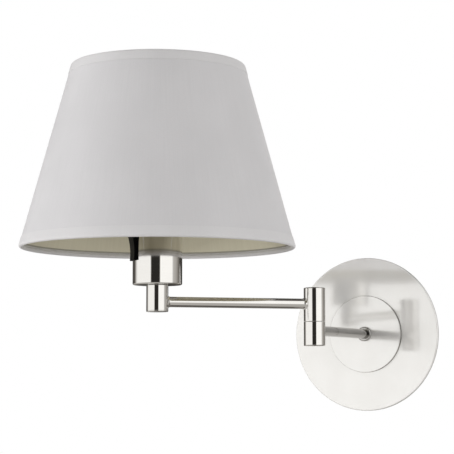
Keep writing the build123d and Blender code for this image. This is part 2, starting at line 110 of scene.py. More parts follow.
barrel_r = half_width("elbow_lower")
arm_r = half_width("wall_arm")
tube_wall = 1.0 * MM
barrel_wall = 3.0 * MM
barrel_hollow = barrel_r - barrel_wall
pivot_bore = 4.05 * MM
cup_r = half_width("lampholder_cup")
cup_wall = 1.2 * MM
hair = 0.05 * MM                                       # room between fitted pieces


# ---------------------------------------------------------------- node trees
class Value:
    """A number on its way through a node tree; arithmetic on it adds Math nodes."""

    def __init__(self, tree, socket):
        self.tree = tree
        self.socket = socket

    def math(self, operation, *others):
        return self.tree.number("ShaderNodeMath", {"operation": operation}, dict(enumerate((self, *others))))

    def __add__(self, other):
        return self.math("ADD", other)

    def __sub__(self, other):
        return self.math("SUBTRACT", other)

    def __mul__(self, other):
        return self.math("MULTIPLY", other)

    def __truediv__(self, other):
        return self.math("DIVIDE", other)

    def __rsub__(self, other):
        return self.tree.number("ShaderNodeMath", {"operation": "SUBTRACT"}, {0: other, 1: self})

    __radd__ = __add__
    __rmul__ = __mul__

    def between(self, low, high):
        """0 below low and 1 above high, with a soft rise between them; low may be the larger."""
        sockets = {"Value": self, "From Min": low, "From Max": high}
        return self.tree.number("ShaderNodeMapRange", {"interpolation_type": "SMOOTHSTEP"}, sockets)

    def wave(self):
        return self.math("SINE")


class Tree:
    """Adds and links the nodes of one material, world or shape."""

    def __init__(self, tree):
        self.tree = tree
        tree.nodes.clear()

    def node(self, kind, settings=None, sockets=None):
        made = self.tree.nodes.new(kind)
        for name, value in (settings or {}).items():
            setattr(made, name, value)
        for name, value in (sockets or {}).items():
            self.feed(made.inputs[name], value)
        return made

    def feed(self, socket, value):
        if isinstance(value, Value):
            value = value.socket
        if isinstance(value, bpy.types.NodeSocket):
            self.tree.links.new(value, socket)
        else:
            socket.default_value = value

    def number(self, kind, settings=None, sockets=None, output=0):
        return Value(self, self.node(kind, settings, sockets).outputs[output])

    def split(self, vector):
        parts = self.node("ShaderNodeSeparateXYZ", None, {0: vector})
        return [Value(self, parts.outputs[i]) for i in range(3)]

    def vector(self, x, y, z):
        return self.node("ShaderNodeCombineXYZ", None, {0: x, 1: y, 2: z}).outputs[0]

    def mix(self, factor, first, second):
        """Blend of two colours."""
        made = self.node("ShaderNodeMix", {"data_type": "RGBA"}, {"Factor": factor})
        self.feed(made.inputs[6], first)
        self.feed(made.inputs[7], second)
        return made.outputs[2]


# ---------------------------------------------------------------- materials
def rgba(colour):
    return (*colour, 1.0)


def shade_of(colour, share):
    return rgba([channel * share for channel in colour])


class Finish(Tree):
    """A material in the making, with coordinates on the object's own frame or a part's."""

    def __init__(self, name):
        self.material = bpy.data.materials.new(name)
        self.material.use_nodes = True
        super().__init__(self.material.node_tree)
        self.objects = self.node("ShaderNodeTexCoord").outputs["Object"]

    def local(self, place):
        """Coordinates in a part's own frame, where +Z is the axis that it was turned about."""
        turn = place.to_euler()
        sockets = {"Vector": self.objects, "Location": place.to_translation(), "Rotation": turn}
        return self.node("ShaderNodeMapping", {"vector_type": "TEXTURE"}, sockets).outputs[0]

    def noise(self, vector, scale, detail=3.0, roughness=0.5, stretch=(1, 1, 1)):
        scaled = self.node("ShaderNodeMapping", None, {"Vector": vector, "Scale": stretch}).outputs[0]
        sockets = {"Vector": scaled, "Scale": scale, "Detail": detail, "Roughness": roughness}
        return self.number("ShaderNodeTexNoise", None, sockets)

    def turned_lines(self, place, pitch):
        """Fine lines round a turned part: they change with radius and height, hardly with angle."""
        drift = 60.0
        x, y, z = self.split(self.local(place))
        radius = (x * x + y * y).math("SQRT")
        across = self.vector(radius / pitch, z / pitch, (x + y) * drift)
        return self.noise(across, 1.0, detail=4.0, roughness=0.65)

    def bump(self, height, depth):
        """Relief whose full height is a depth in metres."""
        sockets = {"Height": height, "Distance": depth, "Strength": 1.0}
        return self.node("ShaderNodeBump", None, sockets).outputs[0]

    def surface(self, **sockets):
        named = {name.replace("_", " "): value for name, value in sockets.items()}
        shader = self.node("ShaderNodeBsdfPrincipled", None, named)
        end = self.node("ShaderNodeOutputMaterial", None, {"Surface": shader.outputs[0]})
        end.is_active_output = True
        return self.material


nickel = (0.80, 0.785, 0.76)
polish_depth = 0.0008 * MM


def satin_nickel(name, place, pitch=0.22 * MM, rough=0.07, tone=1.0):
    """Nickel plate on a turned, polished part, with the mop's lines; a tone below 1 is painted shade."""
    finish = Finish(name)
    lines = finish.turned_lines(place, pitch)
    broad = finish.turned_lines(place, 14 * pitch)
    haze = finish.noise(finish.objects, 38.0, detail=5.0)
    colour = finish.mix(haze.between(0.3, 0.7), shade_of(nickel, 0.965 * tone), shade_of(nickel, tone))
    return finish.surface(
        Base_Color=finish.mix(lines.between(0.35, 0.65) * 0.25, colour, shade_of(nickel, 0.88 * tone)),
        Metallic=1.0,
        Roughness=rough + (lines - 0.5) * 0.05 + (broad - 0.5) * 0.03 + (haze - 0.5) * 0.04,
        Normal=finish.bump(lines, polish_depth),
    )


def lacquered_nickel(disc):
    """Satin lacquer over spun nickel: it hides most of the mirror on the flats, leaves the step at the
    raised disc bare and darker, where the darker colour is painted shade, and keeps the lines of the
    spinning."""
    finish = Finish("rosette_nickel")
    lines = finish.turned_lines(OUT_OF_WALL, 0.30 * MM)
    haze = finish.noise(finish.objects, 38.0, detail=5.0)
    x, y, z = finish.split(finish.local(OUT_OF_WALL))
    radius = (x * x + y * y).math("SQRT")
    step_shade_fade, step_shade_core = 0.5 * MM, 0.2 * MM                        # where the bare metal and painted shade of the step fade in and where they are full
    # the step at the raised disc: fully metallic, with a darker base colour that is painted shade
    bare_step_painted_shade = radius.between(disc - step_shade_fade, disc - step_shade_core) * radius.between(disc + step_shade_fade, disc + step_shade_core)
    hazy, clear, scored = (0.905, 0.895, 0.875), (0.935, 0.927, 0.91), (0.84, 0.835, 0.825)
    face = finish.mix(haze.between(0.3, 0.7), rgba(hazy), rgba(clear))
    face = finish.mix(lines.between(0.35, 0.65) * 0.25, face, rgba(scored))
    shows_through = 0.36                                   # metal seen through the lacquer
    return finish.surface(
        # painted shade: a darker base colour along the step of the raised disc
        Base_Color=finish.mix(bare_step_painted_shade, face, shade_of(nickel, 0.8)),
        Metallic=bare_step_painted_shade * (1 - shows_through) + shows_through,
        Roughness=(lines - 0.5) * 0.05 + (haze - 0.5) * 0.04 + 0.085,
        Normal=finish.bump(lines, polish_depth),
    )


def zinc_plate():
    """Bright zinc on small steel parts: faint blue spangle and rubbed patches."""
    finish = Finish("zinc_steel")
    spangle = finish.number("ShaderNodeTexVoronoi", None, {"Vector": finish.objects, "Scale": 900.0}, 1)
    cloud = finish.noise(finish.objects, 220.0, detail=6.0)
    bluish, grey = (0.58, 0.60, 0.64), (0.70, 0.70, 0.69)
    cool = finish.mix(cloud.between(0.35, 0.65), rgba(bluish), rgba(grey))
    tone = finish.node("ShaderNodeMix", {"data_type": "RGBA", "blend_type": "SOFT_LIGHT"}, {"Factor": 0.25})
    finish.feed(tone.inputs[6], cool)
    finish.feed(tone.inputs[7], spangle)
    return finish.surface(
        Base_Color=tone.outputs[2],
        Metallic=1.0,
        Roughness=0.26 + cloud.between(0.3, 0.7) * 0.16,
        Normal=finish.bump(cloud, 0.02 * MM),
    )


def warm_metal(name, bright, dull, rough):
    """Bare or plated sheet and bar with cloudy tarnish and drawing lines."""
    finish = Finish(name)
    tarnish = finish.noise(finish.objects, 160.0, detail=6.0, roughness=0.6)
    drawn = finish.noise(finish.objects, 2600.0, detail=2.0, stretch=(1, 1, 0.05))
    return finish.surface(
        Base_Color=finish.mix(tarnish.between(0.35, 0.7), rgba(bright), rgba(dull)),
        Metallic=1.0,
        Roughness=rough + tarnish.between(0.3, 0.7) * 0.14 + (drawn - 0.5) * 0.08,
        Normal=finish.bump(drawn, 0.004 * MM),
    )


def moulded(name, colour, rough, grain, depth, **extra):
    """Moulded plastic: fine mould texture, slight gloss changes and a faint flow of colour."""
    finish = Finish(name)
    texture = finish.noise(finish.objects, grain, detail=3.0)
    flow = finish.noise(finish.objects, 90.0, detail=4.0)
    return finish.surface(
        Base_Color=finish.mix(flow.between(0.3, 0.7), shade_of(colour, 0.82), rgba(colour)),
        Roughness=rough + (texture - 0.5) * 0.10 + (flow - 0.5) * 0.12,
        Normal=finish.bump(texture, depth),
        **extra,
    )


def lacquered_wire():
    finish = Finish("shade_wire")
    peel = finish.noise(finish.objects, 700.0, detail=2.0)
    dust = finish.noise(finish.objects, 60.0, detail=5.0)
    clean, dusty = (0.84, 0.84, 0.82), (0.76, 0.755, 0.73)
    return finish.surface(
        Base_Color=finish.mix(dust.between(0.4, 0.75), rgba(clean), rgba(dusty)),
        Roughness=0.28 + (peel - 0.5) * 0.12,
        Coat_Weight=0.3,
        Normal=finish.bump(peel, 0.03 * MM),
    )


def woven(finish, colour, dark, threads_round, thread):
    """Colour and relief of a plain weave on a cone about the head's axis: warp up it, weft round it."""
    x, y, z = finish.split(finish.local(HEAD))
    angle = y.math("ARCTAN2", x)
    warp = (angle * threads_round).wave()
    weft = (z * (pi / thread)).wave()
    over = warp * weft
    slub = finish.noise(finish.vector(angle * 40, z * 2600, 0.0), 1.0, detail=3.0, roughness=0.7)
    streak = finish.noise(finish.vector(angle * 130, z * 12, 0.0), 1.0, detail=4.0, roughness=0.6)
    cloud = finish.noise(finish.objects, 14.0, detail=4.0)
    relief = over * 0.5 + slub * 0.5 + streak * 0.15
    gaps = over.between(0.1, -0.9) * 0.30 + streak.between(0.62, 0.30) * 0.10 + slub.between(0.65, 0.3) * 0.12
    tone = finish.mix(gaps, rgba(colour), rgba(dark))
    tone = finish.mix(cloud.between(0.3, 0.75) * 0.25, tone, rgba(dark))
    return tone, relief


def shade_cloth(name, colour, dark, depth):
    threads_round, thread = 1100, 0.34 * MM
    finish = Finish(name)
    tone, relief = woven(finish, colour, dark, threads_round, thread)
    return finish.surface(
        Base_Color=tone,
        Roughness=0.9 + (relief - 0.5) * 0.08,
        Normal=finish.bump(relief, depth),
        Sheen_Weight=0.25,
        Sheen_Roughness=0.45,
        Specular_IOR_Level=0.25,
    )


def cream_liner():
    """Styrene sheet rolled into a cone: faint rolling lines, a slight mottle, warm white, and a
    painted shadow line just above the inner edge of the bottom trim."""
    finish = Finish("shade_liner")
    x, y, z = finish.split(finish.local(HEAD))
    angle = y.math("ARCTAN2", x)
    rolled = finish.noise(finish.vector(angle * 60, z * 20, 0.0), 1.0, detail=3.0)
    mottle = finish.noise(finish.objects, 420.0, detail=4.0)
    # the third colour is the painted shadow line above the inner edge of the bottom trim
    light, deep, glue = (0.69, 0.655, 0.52), (0.665, 0.63, 0.495), (0.33, 0.315, 0.26)
    sheet = finish.mix(rolled.between(0.3, 0.7), rgba(light), rgba(deep))
    wire_top = height_of("bottom_wire")[1]
    # painted shadow: a darker band just above the inner edge of the bottom trim
    painted_shadow_line = z.between(wire_top + 3.3 * MM, wire_top + 2.5 * MM)
    return finish.surface(
        Base_Color=finish.mix(painted_shadow_line, sheet, rgba(glue)),
        Roughness=0.52 + (mottle - 0.5) * 0.2,
        Normal=finish.bump(mottle, 0.03 * MM),
    )


finishes = {
    "wall_nickel": satin_nickel("wall_nickel", ELBOW),
    "rosette_nickel": lacquered_nickel(half_width("rosette") / 2),
    # darker copy of the nickel (tone 0.62) for the wall arm, its root and collar: painted shade
    "arm_nickel_painted_darker": satin_nickel("arm_nickel_painted_darker", OUT_OF_WALL, pitch=0.26 * MM, rough=0.05, tone=0.62),
    "swing_nickel": satin_nickel("swing_nickel", SWING_ARM, pitch=0.26 * MM, rough=0.09),
    "head_nickel": satin_nickel("head_nickel", HEAD, pitch=0.26 * MM, rough=0.06),
    "zinc_steel": zinc_plate(),
    "brass": warm_metal("brass", (0.80, 0.62, 0.33), (0.60, 0.42, 0.20), 0.24),
    "contact_nickel": warm_metal("contact_nickel", (0.78, 0.76, 0.70), (0.66, 0.63, 0.56), 0.18),
    "black_plastic": moulded(
        "black_plastic", (0.003, 0.003, 0.003), 0.34, 5200.0, 0.002 * MM, Specular_IOR_Level=0.02
    ),
    "holder_plastic": moulded("holder_plastic", (0.030, 0.028, 0.027), 0.42, 2600.0, 0.012 * MM),
    "nylon": moulded("nylon", (0.84, 0.82, 0.74), 0.45, 1800.0, 0.01 * MM),
    "lead_sleeve": moulded("lead_sleeve", (0.78, 0.77, 0.73), 0.5, 1500.0, 0.02 * MM),
    "shade_wire": lacquered_wire(),
    "shade_fabric": shade_cloth("shade_fabric", (0.695, 0.687, 0.702), (0.53, 0.525, 0.54), 0.06 * MM),
    # the trim is the shade's own cloth; its lighter colour is painted light on the folded band
    "shade_trim": shade_cloth("shade_trim", (0.718, 0.710, 0.722), (0.57, 0.565, 0.575), 0.06 * MM),
    "shade_liner": cream_liner(),
}


# ---------------------------------------------------------------- mesh helpers
same_place = 1e-7                                      # points nearer than this are one


def rounded(*corners, steps=6):
    """Outline through (across, up, radius) corners, each with its own rounding."""
    points = []
    for i, (x, y, radius) in enumerate(corners):
        here = Vector((x, y))
        if not radius:
            points.append(here)
            continue
        to_last = (Vector(corners[i - 1][:2]) - here).normalized()
        to_next = (Vector(corners[(i + 1) % len(corners)][:2]) - here).normalized()
        half = to_last.angle(to_next) / 2
        centre = here + (to_last + to_next).normalized() * (radius / sin(half))
        start = here + to_last * (radius / tan(half)) - centre
        sweep = (here + to_next * (radius / tan(half)) - centre).angle_signed(start)
        points += [centre + Matrix.Rotation(sweep * k / steps, 2) @ start for k in range(steps + 1)]
    return [(point.x, point.y) for point in points]


def piece_of(mesh, name, material, sharp=35):
    """An object at the origin from a bmesh, smooth except at corners sharper than an angle."""
    bmesh.ops.remove_doubles(mesh, verts=mesh.verts, dist=same_place)
    bmesh.ops.recalc_face_normals(mesh, faces=mesh.faces)
    data = bpy.data.meshes.new(name)
    mesh.to_mesh(data)
    mesh.free()
    data.materials.append(material)
    data.polygons.foreach_set("use_smooth", [True] * len(data.polygons))
    data.set_sharp_from_angle(angle=radians(sharp))
    piece = bpy.data.objects.new(name, data)
    scene.collection.objects.link(piece)
    return piece


def settle(piece):
    """Replaces a piece's modifiers by the mesh that they make."""
    bpy.context.view_layer.update()
    depsgraph = bpy.context.evaluated_depsgraph_get()
    made = bpy.data.meshes.new_from_object(
        piece.evaluated_get(depsgraph), preserve_all_data_layers=True, depsgraph=depsgraph
    )
    made.name = piece.name
    if not made.materials:
        for material in piece.data.materials:
            made.materials.append(material)
    piece.modifiers.clear()
    piece.data = made
    return piece


def even_shading(piece):
    """Lets large faces keep their own shading beside small rounded edges."""
    weights = piece.modifiers.new("even", "WEIGHTED_NORMAL")
    weights.keep_sharp = True
    weights.weight = 100
    return settle(piece)


def lathe(name, outline, place, material, steps=144, close=True, sharp=35):
    """Turns an outline of (radius, height) points about local Z."""
    mesh = bmesh.new()
    rings = []
    for radius, height in outline:
        if radius < same_place:
            rings.append([mesh.verts.new(place @ Vector((0, 0, height)))])
            continue
        turns = [FULL * k / steps for k in range(steps)]
        spots = [Vector((radius * cos(turn), radius * sin(turn), height)) for turn in turns]
        rings.append([mesh.verts.new(place @ spot) for spot in spots])
    pairs = list(zip(rings, rings[1:] + rings[:1])) if close else list(zip(rings, rings[1:]))
    for first, second in pairs:
        for k in range(steps):
            corners = [first[k % len(first)], first[(k + 1) % len(first)]]
            corners += [second[(k + 1) % len(second)], second[k % len(second)]]
            corners = list(dict.fromkeys(corners))
            if len(corners) > 2:
                mesh.faces.new(corners)
    return even_shading(piece_of(mesh, name, material, sharp))


def extruded(name, outline, place, half, material, edge=0.0):
    """A flat outline in local XY, thick both ways along local Z, with rounded edges."""
    mesh = bmesh.new()
    low = [mesh.verts.new(place @ Vector((x, y, -half))) for x, y in outline]
    high = [mesh.verts.new(place @ Vector((x, y, half))) for x, y in outline]
    mesh.faces.new(low)
    mesh.faces.new(high)
    for k in range(len(low)):
        j = (k + 1) % len(low)
        mesh.faces.new((low[k], low[j], high[j], high[k]))
    piece = piece_of(mesh, name, material)
    if edge:
        bevel = piece.modifiers.new("edge", "BEVEL")
        bevel.width = edge
        bevel.segments = 4
        bevel.limit_method = "ANGLE"
        bevel.angle_limit = radians(25)
        settle(piece)
    return even_shading(piece)


def carve(piece, tool, operation):
    """Joins a tool mesh to a piece, or cuts it away, and removes the tool."""
    cut = piece.modifiers.new("cut", "BOOLEAN")
    cut.operation = operation
    cut.solver = "EXACT"
    cut.object = tool
    settle(piece)
    bpy.data.objects.remove(tool)
    piece.data.set_sharp_from_angle(angle=radians(30))
    return even_shading(piece)


def finished(piece, body, slot, *stands_for):
    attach(piece, body)
    if stands_for:
        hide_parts(*stands_for)
    return piece


# ---------------------------------------------------------------- shapes that follow a rule
class Shape(Tree):
    """A Geometry Nodes tree with named inputs, ending in real meshes of one material."""

    def __init__(self, name, **sizes):
        group = bpy.data.node_groups.new(name, "GeometryNodeTree")
        super().__init__(group)
        self.group = group
        self.sizes = {}
        group.interface.new_socket("Geometry", in_out="INPUT", socket_type="NodeSocketGeometry")
        for title, kind in sizes.items():
            made = group.interface.new_socket(title, in_out="INPUT", socket_type="NodeSocket" + kind)
            self.sizes[title] = made.identifier
        group.interface.new_socket("Geometry", in_out="OUTPUT", socket_type="NodeSocketGeometry")
        self.start = self.node("NodeGroupInput")
        self.geometry = self.start.outputs["Geometry"]

    def size(self, title):
        return Value(self, self.start.outputs[title])

    def moved(self, geometry, position):
        sockets = {"Geometry": geometry, "Position": position}
        return self.node("GeometryNodeSetPosition", None, sockets).outputs[0]

    def welded(self, geometry):
        sockets = {"Geometry": geometry, "Distance": 1e-6}
        return self.node("GeometryNodeMergeByDistance", None, sockets).outputs[0]

    def drawn_circle(self, radius, resolution):
        sockets = {"Resolution": resolution, "Radius": radius}
        return self.node("GeometryNodeCurvePrimitiveCircle", None, sockets).outputs[0]

    def end(self, geometry):
        real = self.node("GeometryNodeRealizeInstances", None, {0: geometry}).outputs[0]
        smooth = self.node("GeometryNodeSetShadeSmooth", None, {0: real}).outputs[0]
        sockets = {"Geometry": smooth, "Material": self.start.outputs["Material"]}
        done = self.node("GeometryNodeSetMaterial", None, sockets)
        self.node("NodeGroupOutput", None, {0: done.outputs[0]})
        return self

    def grow(self, name, place, piece=None, **values):
        """The plain mesh that this tree makes with these sizes, set in its place."""
        if piece is None:
            piece = bpy.data.objects.new(name, bpy.data.meshes.new(name))
        maker = piece.modifiers.new("shape", "NODES")
        maker.node_group = self.group
        for title, value in values.items():
            maker[self.sizes[title]] = value
        if piece.name not in scene.collection.objects:
            scene.collection.objects.link(piece)
        settle(piece)
        piece.data.transform(place)
        mesh = bmesh.new()
        mesh.from_mesh(piece.data)
        material = values["Material"]
        bpy.data.objects.remove(piece)
        return even_shading(piece_of(mesh, name, material))


def cone_sheet_shape():
    """Sheet rolled into a cone, all the way round or only part of it, and given its thickness."""
    tree = Shape(
        "cone_sheet", Low_Radius="Float", High_Radius="Float", Low="Float", High="Float",
        Thickness="Float", Start="Float", Sweep="Float", Columns="Int", Rows="Int", Material="Material",
    )
    grid = tree.node(
        "GeometryNodeMeshGrid", None,
        {"Size X": 1.0, "Size Y": 1.0, "Vertices X": tree.size("Columns"), "Vertices Y": tree.size("Rows")},
    ).outputs[0]
    x, y, z = tree.split(tree.node("GeometryNodeInputPosition").outputs[0])
    round_it = x + 0.5
    up = y + 0.5
    angle = tree.size("Start") + tree.size("Sweep") * round_it
    radius = tree.size("Low_Radius") * (1 - up) + tree.size("High_Radius") * up
    height = tree.size("Low") * (1 - up) + tree.size("High") * up
    place = tree.vector(radius * angle.math("COSINE"), radius * angle.math("SINE"), height)
    rolled = tree.welded(tree.moved(grid, place))
    raised = tree.node(
        "GeometryNodeExtrudeMesh", None,
        {"Mesh": rolled, "Offset Scale": tree.size("Thickness"), "Individual": False},
    ).outputs[0]
    back = tree.node("GeometryNodeFlipFaces", None, {0: rolled}).outputs[0]
    both = tree.node("GeometryNodeJoinGeometry")
    tree.feed(both.inputs[0], raised)
    tree.feed(both.inputs[0], back)
    return tree.end(tree.welded(both.outputs[0]))


def relief_shape():
    """Ribs, grips or a rolled thread: waves round a turned part, which climb with its height."""
    tree = Shape(
        "turned_relief", Count="Float", Turns_Per_Metre="Float", Depth="Float", Beyond="Float",
        Low="Float", High="Float", Fade="Float", Material="Material",
    )
    x, y, z = tree.split(tree.node("GeometryNodeInputPosition").outputs[0])
    radius = (x * x + y * y).math("SQRT")
    angle = y.math("ARCTAN2", x)
    wave = (angle * tree.size("Count") - z * tree.size("Turns_Per_Metre") * FULL).math("COSINE")
    reach = z.between(tree.size("Low"), tree.size("Low") + tree.size("Fade"))
    reach = reach * z.between(tree.size("High"), tree.size("High") - tree.size("Fade"))
    outside = radius.math("GREATER_THAN", tree.size("Beyond"))
    share = 1 - tree.size("Depth") * reach * outside * (0.5 - wave * 0.5) / radius
    place = tree.vector(x * share, y * share, z)
    return tree.end(tree.moved(tree.geometry, place))


def spokes_shape():
    """Straight rods from a hub to a ring, evenly spaced round the axis."""
    tree = Shape(
        "spokes", Count="Int", First="Float", Thickness="Float", Start="Vector", End="Vector",
        Material="Material",
    )
    ends = {"Start": tree.size("Start"), "End": tree.size("End")}
    line = tree.node("GeometryNodeCurvePrimitiveLine", None, ends).outputs[0]
    section = tree.drawn_circle(tree.size("Thickness"), 24)
    sockets = {"Curve": line, "Profile Curve": section, "Fill Caps": True}
    rod = tree.node("GeometryNodeCurveToMesh", None, sockets).outputs[0]
    spots = tree.node("GeometryNodePoints", None, {"Count": tree.size("Count")}).outputs[0]
    turn = tree.number("GeometryNodeInputIndex") * FULL / tree.size("Count") + tree.size("First")
    sockets = {"Points": spots, "Instance": rod, "Rotation": tree.vector(0.0, 0.0, turn)}
    return tree.end(tree.node("GeometryNodeInstanceOnPoints", None, sockets).outputs[0])


def wire_ring_shape():
    """Round wire bent into a ring and welded closed."""
    tree = Shape("wire_ring", Radius="Float", Thickness="Float", Height="Float", Material="Material")
    ring = tree.drawn_circle(tree.size("Radius"), 160)
    section = tree.drawn_circle(tree.size("Thickness"), 20)
    wire = tree.node("GeometryNodeCurveToMesh", None, {"Curve": ring, "Profile Curve": section}).outputs[0]
    sockets = {"Geometry": wire, "Translation": tree.vector(0.0, 0.0, tree.size("Height"))}
    return tree.end(tree.node("GeometryNodeTransform", None, sockets).outputs[0])


# ---------------------------------------------------------------- on the wall
def make_rosette():
    """Spun rosette with a rolled rim and a raised centre."""
    outer = half_width("rosette")
    front = -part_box("rosette")[0].y
    sheet = 1.0 * MM
    rim = 3.0 * MM
    disc = outer / 2
    hole = 5.1 * MM
    outline = rounded(
        (hole, front - sheet, 0),
        (disc - sheet, front - sheet, 0.3 * MM),
        (disc - sheet, rim - sheet, 0),
        (outer - sheet, rim - sheet, 0),
        (outer - sheet, 0, 0),
        (outer, 0, 0.2 * MM),
        (outer, rim, 1.0 * MM),
        (disc, rim, 0.1 * MM),
        (disc, front, 0.25 * MM),
        (hole, front, 0),
    )
    rosette = lathe("rosette_plate", outline, OUT_OF_WALL, finishes["rosette_nickel"], 192)
    return finished(rosette, "wall", "satin_nickel", "rosette")


def make_collar():
    low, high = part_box("arm_collar")
    radius = half_width("arm_collar")
    bore = 5.05 * MM
    outline = rounded(
        (bore, -high.y, 0), (radius, -high.y, 0.25 * MM),
        (radius, -low.y, 1.1 * MM), (bore, -low.y, 0.1 * MM),
    )
    collar = lathe("collar_ring", outline, OUT_OF_WALL, finishes["arm_nickel_painted_darker"])
    return finished(collar, "wall", "satin_nickel", "arm_collar")


def make_wall_arm():
    """Arm root and tube, which meet at a hairline joint just off the rosette."""
    stem_low = -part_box("arm_root")[1].y
    shoulder = -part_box("arm_collar")[0].y
    joint, end = -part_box("wall_arm")[1].y, -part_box("wall_arm")[0].y
    bore = arm_r - tube_wall
    stem = 5.0 * MM
    wire_way = 2.9 * MM
    spigot = joint + 8.0 * MM
    soft = 0.15 * MM
    root = rounded(
        (wire_way, stem_low, 0), (stem, stem_low, 0.3 * MM), (stem, shoulder, 0), (arm_r, shoulder, 0),
        (arm_r, joint, soft), (bore - hair, joint, 0), (bore - hair, spigot, 0.2 * MM), (wire_way, spigot, 0),
    )
    tube = rounded((bore, joint, 0), (arm_r, joint, soft), (arm_r, end, 0), (bore, end, 0))
    root_piece = lathe("arm_root_stem", root, OUT_OF_WALL, finishes["arm_nickel_painted_darker"])
    finished(root_piece, "wall", "satin_nickel", "arm_root")
    arm = lathe("wall_arm_tube", tube, OUT_OF_WALL, finishes["arm_nickel_painted_darker"])
    return finished(arm, "wall", "satin_nickel", "wall_arm")


# ---------------------------------------------------------------- barrels of the elbow and the head
web = 4.0 * MM
lower_web = 3.2 * MM                                   # elbow's lower barrel
end_soft = 0.25 * MM
seam_soft = 0.3 * MM
bearing_r = 6.1 * MM
bearing_depth = 0.8 * MM
flare_r = 6.2 * MM


def add_flare(barrel, place, height, direction):
    """Brazed collar that blends an arm into a barrel; direction is an angle about the barrel's axis."""
    turn = place @ Matrix.Translation((0, 0, height)) @ Matrix.Rotation(direction, 4, "Z")
    lying = turn @ Matrix.Rotation(pi / 2, 4, "Y")
    start = barrel_r - 1.6 * MM
    wide = barrel_r - 0.9 * MM
    end = barrel_r + 1.5 * MM
    bore = arm_r + hair
    lip = arm_r + 0.15 * MM
    outline = [(bore, start), (flare_r, start), (flare_r, wide)]
    steps = 6
    for k in range(1, steps + 1):
        share = k / steps
        radius = flare_r + (lip - flare_r) * sin(share * pi / 2)
        outline.append((radius, wide + (end - wide) * share))
    outline.append((bore, end))
    cone = lathe("flare", outline, lying, barrel.data.materials[0], 72)
    return carve(barrel, cone, "UNION")


def make_elbow():
    low, high = height_of("elbow_lower")
    seat = high - bearing_depth
    lower = rounded(
        (barrel_hollow, low, 0), (barrel_r, low, end_soft), (barrel_r, high, seam_soft),
        (bearing_r, high, 0), (bearing_r, seat, 0), (pivot_bore, seat, 0),
        (pivot_bore, high - lower_web, 0), (barrel_hollow, high - lower_web, seam_soft),
    )
    half = add_flare(lathe("elbow_lower_barrel", lower, ELBOW, finishes["wall_nickel"]), ELBOW, 0.0, pi / 2)
    finished(half, "wall", "satin_nickel", "elbow_lower")
    low, high = height_of("elbow_upper")
    upper = rounded(
        (pivot_bore, low, 0), (barrel_r, low, seam_soft), (barrel_r, high, end_soft),
        (barrel_hollow, high, 0), (barrel_hollow, low + web, seam_soft), (pivot_bore, low + web, 0),
    )
    half = lathe("elbow_upper_barrel", upper, ELBOW, finishes["wall_nickel"])
    add_flare(half, ELBOW, elbow.z, swing_turn - pi / 2)
    finished(half, "swing", "satin_nickel", "elbow_upper")


def make_head_knuckle():
    low, high = height_of("head_knuckle")
    seat = high - bearing_depth
    outline = rounded(
        (barrel_hollow, low, 0), (barrel_r, low, end_soft), (barrel_r, high, seam_soft),
        (bearing_r, high, 0), (bearing_r, seat, 0), (pivot_bore, seat, 0),
        (pivot_bore, high - web, 0), (barrel_hollow, high - web, seam_soft),
    )
    knuckle = lathe("head_knuckle_barrel", outline, HEAD, finishes["head_nickel"])
    add_flare(knuckle, HEAD, elbow.z, pi / 2)
    finished(knuckle, "swing", "satin_nickel", "head_knuckle")


def make_end_cap(name, node, place, body, direction, dome):
    """Slightly domed cap pressed into a barrel, with a soft shoulder and a hairline groove under it."""
    low, high = height_of(node)
    face = high if direction > 0 else low
    plug = barrel_hollow - hair
    crown_r = barrel_r * 0.93
    edge = -1.2 * MM
    inner_end = -4.2 * MM
    steps = 8
    turns = [pi / 2 * k / steps for k in range(steps + 1)]
    crown = [(crown_r * sin(turn), -dome * (1 - cos(turn))) for turn in turns]
    rim = rounded(
        (crown_r, -dome, 0), (barrel_r, -dome - 0.1 * MM, 0.4 * MM), (barrel_r, edge, 0.2 * MM),
        (plug, edge, 0), (plug, inner_end, 0.3 * MM), (0, inner_end, 0),
    )
    outline = [(radius, face + direction * step) for radius, step in crown + rim[1:]]
    nickel_of_cap = finishes["wall_nickel" if place is ELBOW else "head_nickel"]
    cap = lathe(name, outline, place, nickel_of_cap, close=False)
    return finished(cap, body, "satin_nickel", node)


def make_swing_arm():
    reach = swing_length - barrel_hollow
    bore = arm_r - tube_wall
    outline = [(bore, barrel_hollow), (arm_r, barrel_hollow), (arm_r, reach), (bore, reach)]
    arm = lathe("swing_arm_tube", outline, SWING_ARM, finishes["swing_nickel"])
    return finished(arm, "swing", "satin_nickel", "swing_arm")


# ---------------------------------------------------------------- lampholder
rocker_low, rocker_high = height_of("rocker")
rocker_half_width = 9.3 * MM
window_room = 0.4 * MM
rocker_throw = radians(joints["rocker_tilt"]["range_deg"][1])
rocker_out = hypot(rocker_pivot.x - head.x, rocker_pivot.y - head.y)


def make_cup():
    low, high = height_of("lampholder_cup")
    inner = cup_r - cup_wall
    bend = 1.3 * MM
    outline = rounded(
        (pivot_bore, low, 0), (cup_r, low, bend), (cup_r, high, 0.3 * MM), (inner, high, 0.2 * MM),
        (inner, low + cup_wall, bend), (pivot_bore, low + cup_wall, 0), steps=9,
    )
    cup = lathe("lampholder_cup_shell", outline, HEAD, finishes["head_nickel"], 192)
    rise = max(rocker_high - rocker_pivot.z, rocker_pivot.z - rocker_low) + window_room
    wide = rocker_half_width + window_room
    soft = 1.0 * MM
    window = rounded((-wide, -rise, soft), (wide, -rise, soft), (wide, rise, soft), (-wide, rise, soft))
    facing = HEAD @ Matrix.Translation((0, -cup_r, rocker_pivot.z)) @ Matrix.Rotation(pi / 2, 4, "X")
    carve(cup, extruded("window", window, facing, cup_r / 2, finishes["head_nickel"]), "DIFFERENCE")
    return finished(cup, "head", "satin_nickel", "lampholder_cup")


